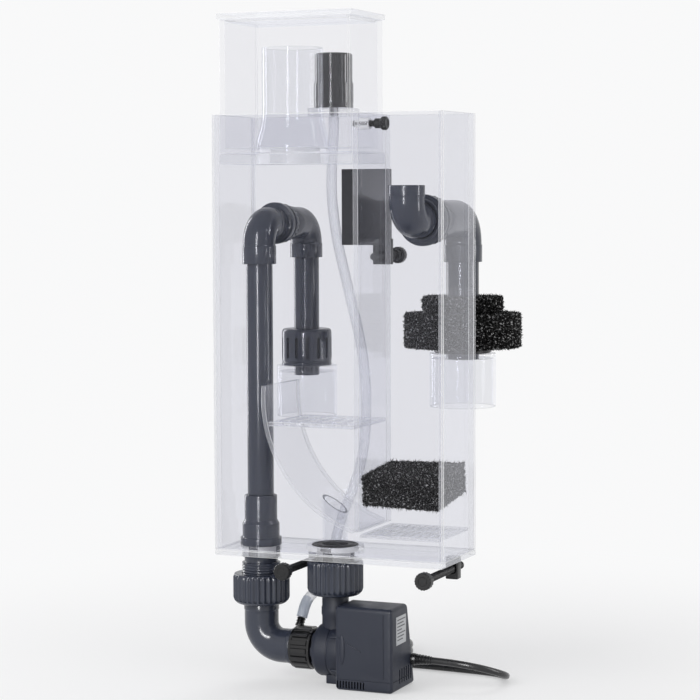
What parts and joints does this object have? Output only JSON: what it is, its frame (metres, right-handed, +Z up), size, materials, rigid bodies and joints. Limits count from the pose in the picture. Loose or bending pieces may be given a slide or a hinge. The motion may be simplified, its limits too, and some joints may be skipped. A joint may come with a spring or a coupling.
{
  "type": "protein skimmer",
  "caption": "Hang-on-back protein skimmer: clear acrylic box with a lift-out foam cup, a needle-wheel pump hung below, grey PVC lines over the tank's wall and a clamping rim bracket.",
  "frame": {"origin": "the middle of the underside of the rim bracket's arm, where the arm rests on the top edge of the tank's wall", "axes": "+Z up; +X to the right along the front of the box, from the skimming chamber to the outflow chamber; +Y back, from the box towards the inside of the tank"},
  "size_m": [0.2618, 0.2685, 0.6269],
  "materials": {
    "clear_acrylic": "clear cast acrylic sheet with bright sawn edges",
    "grey_pvc": "smooth moulded slate-grey PVC",
    "pump_plastic": "satin dark grey moulding",
    "black_plastic": "satin black moulding",
    "black_sponge": "open-cell filter foam, matt",
    "clear_hose": "milky clear soft PVC hose",
    "cord_rubber": "matt black cord jacket",
    "magnet": "dark ferrite and plastic",
    "ceramic": "polished ceramic"
  },
  "bodies": {
    "root": {"front_panel": "clear_acrylic", "back_panel": "clear_acrylic", "side_panel_left": "clear_acrylic", "side_panel_right": "clear_acrylic", "bottom_panel": "clear_acrylic", "partition_wall": "clear_acrylic", "chamber_top_plate": "clear_acrylic", "curved_baffle": "clear_acrylic", "bubble_plate": "clear_acrylic", "media_grate": "clear_acrylic", "silencer_shelf": "clear_acrylic", "intake_guard": "clear_acrylic", "drain_guard": "clear_acrylic", "outlet_tube": "clear_acrylic", "riser_elbow": "grey_pvc", "riser_pipe": "grey_pvc", "intake_bulkhead": "grey_pvc", "intake_ring_nut": "grey_pvc", "intake_elbow": "grey_pvc", "intake_pipe": "grey_pvc", "strainer_nut": "grey_pvc", "drain_bulkhead": "grey_pvc", "drain_ring_nut": "grey_pvc", "drain_elbow": "grey_pvc", "drain_pipe": "grey_pvc", "floor_adapter": "grey_pvc", "pump_inlet_elbow": "grey_pvc", "air_silencer": "grey_pvc", "volute_cover": "pump_plastic", "motor_housing": "pump_plastic", "outlet_bulkhead": "black_plastic", "venturi_ring": "black_plastic", "rim_bracket": "black_plastic", "level_lug_left": "black_plastic", "level_lug_right": "black_plastic", "foam_ring": "black_plastic", "mains_plug": "black_plastic", "foam_upper": "black_sponge", "foam_lower": "black_sponge", "sponge_block": "black_sponge", "air_hose": "clear_hose", "cord_boot": "cord_rubber", "power_cord": "cord_rubber", "cord_coil": "cord_rubber", "rotor_shaft": "ceramic"},
    "cup": {"cup_box": "clear_acrylic", "cup_neck": "clear_acrylic"},
    "lid": {"cup_lid": "clear_acrylic"},
    "weir": {"weir_elbow": "grey_pvc"},
    "rotor": {"impeller_rotor": "magnet"},
    "lock_shaft": {"cup_lock_shaft": "black_plastic"},
    "lock_knob": {"cup_lock_knob": "black_plastic"},
    "level_left_shaft": {"level_screw_left_shaft": "black_plastic"},
    "level_left_knob": {"level_screw_left_knob": "black_plastic"},
    "level_right_shaft": {"level_screw_right_shaft": "black_plastic"},
    "level_right_knob": {"level_screw_right_knob": "black_plastic"},
    "clamp_shaft": {"clamp_screw_shaft": "black_plastic"},
    "clamp_knob": {"clamp_screw_knob": "black_plastic"},
    "inlet_nut": {"inlet_union_nut": "grey_pvc"},
    "outlet_nut": {"outlet_union_nut": "grey_pvc"}
  },
  "joints": [
    {"name": "cup_lift", "type": "slide", "parent": "root", "child": "cup", "axis": [0, 0, 1], "range_m": [0, 0.14]},
    {"name": "lid_lift", "type": "slide", "parent": "cup", "child": "lid", "axis": [0, 0, 1], "range_m": [0, 0.06]},
    {"name": "weir_turn", "type": "hinge", "parent": "root", "child": "weir", "pos_m": [0.062, -0.062, 0.0238], "axis": [0, 1, 0], "range_deg": [-30, 90]},
    {"name": "impeller_spin", "type": "hinge", "parent": "root", "child": "rotor", "pos_m": [0, -0.062, -0.3807], "axis": [1, 0, 0], "continuous": true},
    {"name": "lock_travel", "type": "slide", "parent": "root", "child": "lock_shaft", "axis": [-1, 0, 0], "range_m": [-0.006, 0]},
    {"name": "lock_turn", "type": "hinge", "parent": "lock_shaft", "child": "lock_knob", "pos_m": [0.043, -0.0945, 0.1121], "axis": [-1, 0, 0], "range_deg": [-1080, 0]},
    {"name": "level_left_travel", "type": "slide", "parent": "root", "child": "level_left_shaft", "axis": [0, 1, 0], "range_m": [-0.004, 0.008]},
    {"name": "level_left_turn", "type": "hinge", "parent": "level_left_shaft", "child": "level_left_knob", "pos_m": [-0.047, -0.107, -0.3014], "axis": [0, 1, 0], "range_deg": [-720, 1440]},
    {"name": "level_right_travel", "type": "slide", "parent": "root", "child": "level_right_shaft", "axis": [0, 1, 0], "range_m": [-0.004, 0.008]},
    {"name": "level_right_turn", "type": "hinge", "parent": "level_right_shaft", "child": "level_right_knob", "pos_m": [0.0935, -0.107, -0.3014], "axis": [0, 1, 0], "range_deg": [-720, 1440]},
    {"name": "clamp_travel", "type": "slide", "parent": "root", "child": "clamp_shaft", "axis": [0, -1, 0], "range_m": [-0.008, 0.006]},
    {"name": "clamp_turn", "type": "hinge", "parent": "clamp_shaft", "child": "clamp_knob", "pos_m": [0, 0.063, -0.0115], "axis": [0, -1, 0], "range_deg": [-1440, 1080]},
    {"name": "inlet_nut_turn", "type": "hinge", "parent": "root", "child": "inlet_nut", "pos_m": [-0.09, -0.062, -0.3257], "axis": [0, 0, 1], "range_deg": [-60, 1080]},
    {"name": "outlet_nut_turn", "type": "hinge", "parent": "root", "child": "outlet_nut", "pos_m": [-0.013, -0.062, -0.3097], "axis": [0, 0, 1], "range_deg": [-60, 1080]}
  ],
  "couplings": [
    {"joint": "lock_turn", "follows": "lock_travel", "rad_per_m": 3141.6},
    {"joint": "level_left_turn", "follows": "level_left_travel", "rad_per_m": 3141.6},
    {"joint": "level_right_turn", "follows": "level_right_travel", "rad_per_m": 3141.6},
    {"joint": "clamp_turn", "follows": "clamp_travel", "rad_per_m": 3141.6}
  ]
}
